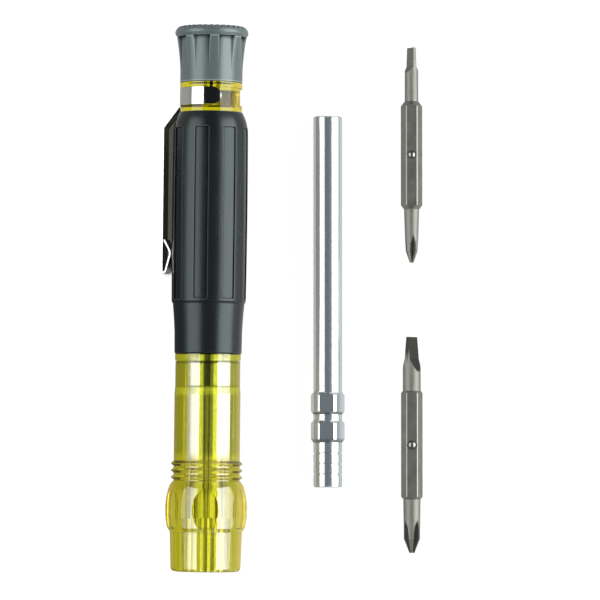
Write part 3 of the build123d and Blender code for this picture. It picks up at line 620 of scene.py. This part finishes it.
BAR_STEEL = (0.80, 0.81, 0.81)
BAR_HAZE = (0.62, 0.72, 0.78)
BAR_HAZE_ROUGHNESS = 0.65
BAR_HAZE_SHARE = 0.24
BAR_SMOOTH = 0.09
BAR_TURNED = 0.08
BAR_AXIS_X = 0.007444
TURNING_MARKS = {"Scale": 420.0, "Detail": 4.0}
TURNING_DRAW = (1.0, 14.0, 1.0)
TURNING_BUMP = {"Strength": 0.06, "Distance": 0.00002}
# Up the page, in millimetres from the middle of the layout.
BAR_SPAN = 100.0
BAR_START = 0.6
# A painted dark line of shade in the corner under each collar.
PAINTED_COLLAR_SHADE = (0.03, 0.034, 0.037)
PAINTED_SHADE_UNDER_COLLARS = (
    (-29.70, 0.0),
    (-29.50, 0.8),
    (-29.25, 0.8),
    (-29.05, 0.0),
    (-24.02, 0.0),
    (-23.82, 0.8),
    (-23.57, 0.8),
    (-23.37, 0.0),
)
COLLARS = (
    (-29.45, 0.0),
    (-29.35, 1.0),
    (-25.10, 1.0),
    (-25.00, 0.0),
    (-23.75, 0.0),
    (-23.65, 1.0),
    (-19.25, 1.0),
    (-19.15, 0.0),
)
# Across, in millimetres from the bar's axis: the painted grey reflection on the left flank. On the collars
# the painted flank lies further out, in metres.
FLANK_PAINTED_REFLECTION = (0.32, 0.33, 0.33)
FLANK_SPAN = 10.0
PAINTED_FLANK = ((-2.58, 0.0), (-2.40, 0.9), (-1.80, 0.9), (-1.64, 0.0))
COLLAR_FLANK_SHIFT = 0.0004

bright, bar = new_finish("bright_plated_bar")
bar_place = bar.node("TexCoord", output="Object")
bar_x, bar_y = bar.node("SeparateXYZ", inputs={0: bar_place}, output=("X", "Y"))
drawn_round = bar.node("Mapping", inputs={"Vector": bar_place, "Scale": TURNING_DRAW})
turning = bar.node("TexNoise", inputs={"Vector": drawn_round, **TURNING_MARKS})
plated = bar.node("BsdfPrincipled", inputs={
    "Base Color": BAR_STEEL,
    "Metallic": 1.0,
    "Roughness": BAR_SMOOTH + BAR_TURNED * turning,
    "Normal": bar.node("Bump", inputs={**TURNING_BUMP, "Height": turning}),
})
bar_haze = bar.node("BsdfAnisotropic", inputs={"Color": BAR_HAZE, "Roughness": BAR_HAZE_ROUGHNESS})
# A painted grey reflection down the bar's left flank, further out on the collars.
on_collars = graded(bar_y, BAR_SPAN, BAR_START, COLLARS)
painted_flank = graded(bar_x - BAR_AXIS_X + on_collars * COLLAR_FLANK_SHIFT, FLANK_SPAN, MIDDLE, PAINTED_FLANK)
painted_flank_grey = bar.node("BsdfDiffuse", inputs={"Color": FLANK_PAINTED_REFLECTION})
# The painted dark line of shade under each collar.
painted_collar_shade_layer = bar.node("BsdfDiffuse", inputs={"Color": PAINTED_COLLAR_SHADE})
painted_shade_under_collars = graded(bar_y, BAR_SPAN, BAR_START, PAINTED_SHADE_UNDER_COLLARS)
put_on(("shaft",), bright, Surface=layered(
    painted_shade_under_collars,
    layered(painted_flank, layered(BAR_HAZE_SHARE, plated, bar_haze), painted_flank_grey),
    painted_collar_shade_layer,
))


# --- Bits ---
# Hardened steel with a matte grey phosphate. The ends are turned to a taper, and the flutes and blades are
# then ground into it; painted shade darkens their ground faces.

BIT_GREY = (0.20, 0.205, 0.182)
BIT_BRIGHT = (0.36, 0.365, 0.338)
BIT_CRYSTALS = {"Scale": 5200.0, "Detail": 4.0, "Roughness": 0.65}
BIT_CRYSTALS_BUMP = {"Strength": 0.30, "Distance": 0.00002}
BIT_PATCHES = {"Scale": 420.0, "Detail": 3.0}
BIT_MATTE = 0.40
BIT_PATCHY = 0.12
ENDS_MATTER = 0.14
BIT_AXIS_X = 0.024944
BIT_AXIS_Z = 0.0020
# Up the page, in millimetres from the middle of the layout: the radius that the ends are turned to, 0 on
# the hexagons, and how much painted shade the ground faces take. A ramp holds a radius as a grey, which is
# 0.4 of it.
BIT_SPAN = 125.0
TURNED_RADIUS = (
    (-52.66, 0.55),
    (-49.73, 1.68),
    (-41.60, 1.80),
    (-41.50, 0.0),
    (-18.90, 0.0),
    (-18.30, 1.87),
    (-7.70, 1.87),
    (7.74, 0.43),
    (10.15, 1.32),
    (18.80, 1.58),
    (18.90, 0.0),
    (41.50, 0.0),
    (42.10, 1.415),
)
RADIUS_AS_GREY = 0.4
LEAST_RADIUS = 0.125
FLUTE_SHADE = (0.35, 0.35, 0.34)
BLADE_SHADE = (0.20, 0.20, 0.19)
SMALL_BLADE_SHADE = (0.85, 0.85, 0.84)
PAINTED_GROUND_SHADES = (
    (-25.00, FLUTE_SHADE),
    (-23.75, BLADE_SHADE),
    (0.0, BLADE_SHADE),
    (1.25, FLUTE_SHADE),
    (40.00, FLUTE_SHADE),
    (41.25, SMALL_BLADE_SHADE),
)
# How far below the turned radius a face lies where it counts as ground, in millimetres.
GROUND_SPAN = 1.0
GROUND_DEPTH = ((0.05, 0.0), (0.15, 1.0))

matte_steel, bit = new_finish("phosphated_steel")
bit_place = bit.node("TexCoord", output="Object")
bit_x, bit_y, bit_z = bit.node("SeparateXYZ", inputs={0: bit_place}, output=("X", "Y", "Z"))
crystals = bit.node("TexNoise", inputs={"Vector": bit_place, **BIT_CRYSTALS})
bit_patches = bit.node("TexNoise", inputs={"Vector": bit_place, **BIT_PATCHES})
phosphate = mixed(crystals * bit_patches, BIT_GREY, BIT_BRIGHT)
off_bit = bit_x - BIT_AXIS_X
over_bit = bit_z - BIT_AXIS_Z
from_bit_axis = bit.maths("SQRT", off_bit * off_bit + over_bit * over_bit)
turned = graded(bit_y, BIT_SPAN, MIDDLE, [(y, RADIUS_AS_GREY * radius) for y, radius in TURNED_RADIUS])
ground = graded(turned / (1000.0 * RADIUS_AS_GREY) - from_bit_axis, GROUND_SPAN, 0.0, GROUND_DEPTH)
# Painted shade on the ground faces of the flutes and blades, strong on the large blade and slight on the
# small one.
painted_ground_shade = graded(bit_y, BIT_SPAN, MIDDLE, PAINTED_GROUND_SHADES)
on_ends = turned > RADIUS_AS_GREY * LEAST_RADIUS
put_on(("bit_small", "bit_large"), matte_steel, Surface=bit.node("BsdfPrincipled", inputs={
    "Base Color": mixed(ground, phosphate, painted_ground_shade, "MULTIPLY"),
    "Metallic": 1.0,
    "Roughness": BIT_MATTE + BIT_PATCHY * bit_patches + ENDS_MATTER * on_ends,
    "Normal": bit.node("Bump", inputs={**BIT_CRYSTALS_BUMP, "Height": crystals}),
}))


# --- Detent balls ---
# Hardened bearing balls, one in each bit over its spring. They click into the groove in the shaft's bore,
# and are a little dulled by it.

BALL_STEEL = (0.27, 0.26, 0.25)
BALL_HAZE = {"Scale": 1500.0, "Detail": 3.0}
BALL_WORN = 0.26
BALL_UNEVEN = 0.08

ball_steel, ball = new_finish("bearing_steel")
ball_place = ball.node("TexCoord", output="Object")
ball_haze = ball.node("TexNoise", inputs={"Vector": ball_place, **BALL_HAZE})
put_on(("detent_ball_small", "detent_ball_large"), ball_steel, Surface=ball.node("BsdfPrincipled", inputs={
    "Base Color": BALL_STEEL,
    "Metallic": 1.0,
    "Roughness": BALL_WORN + BALL_UNEVEN * ball_haze,
}))
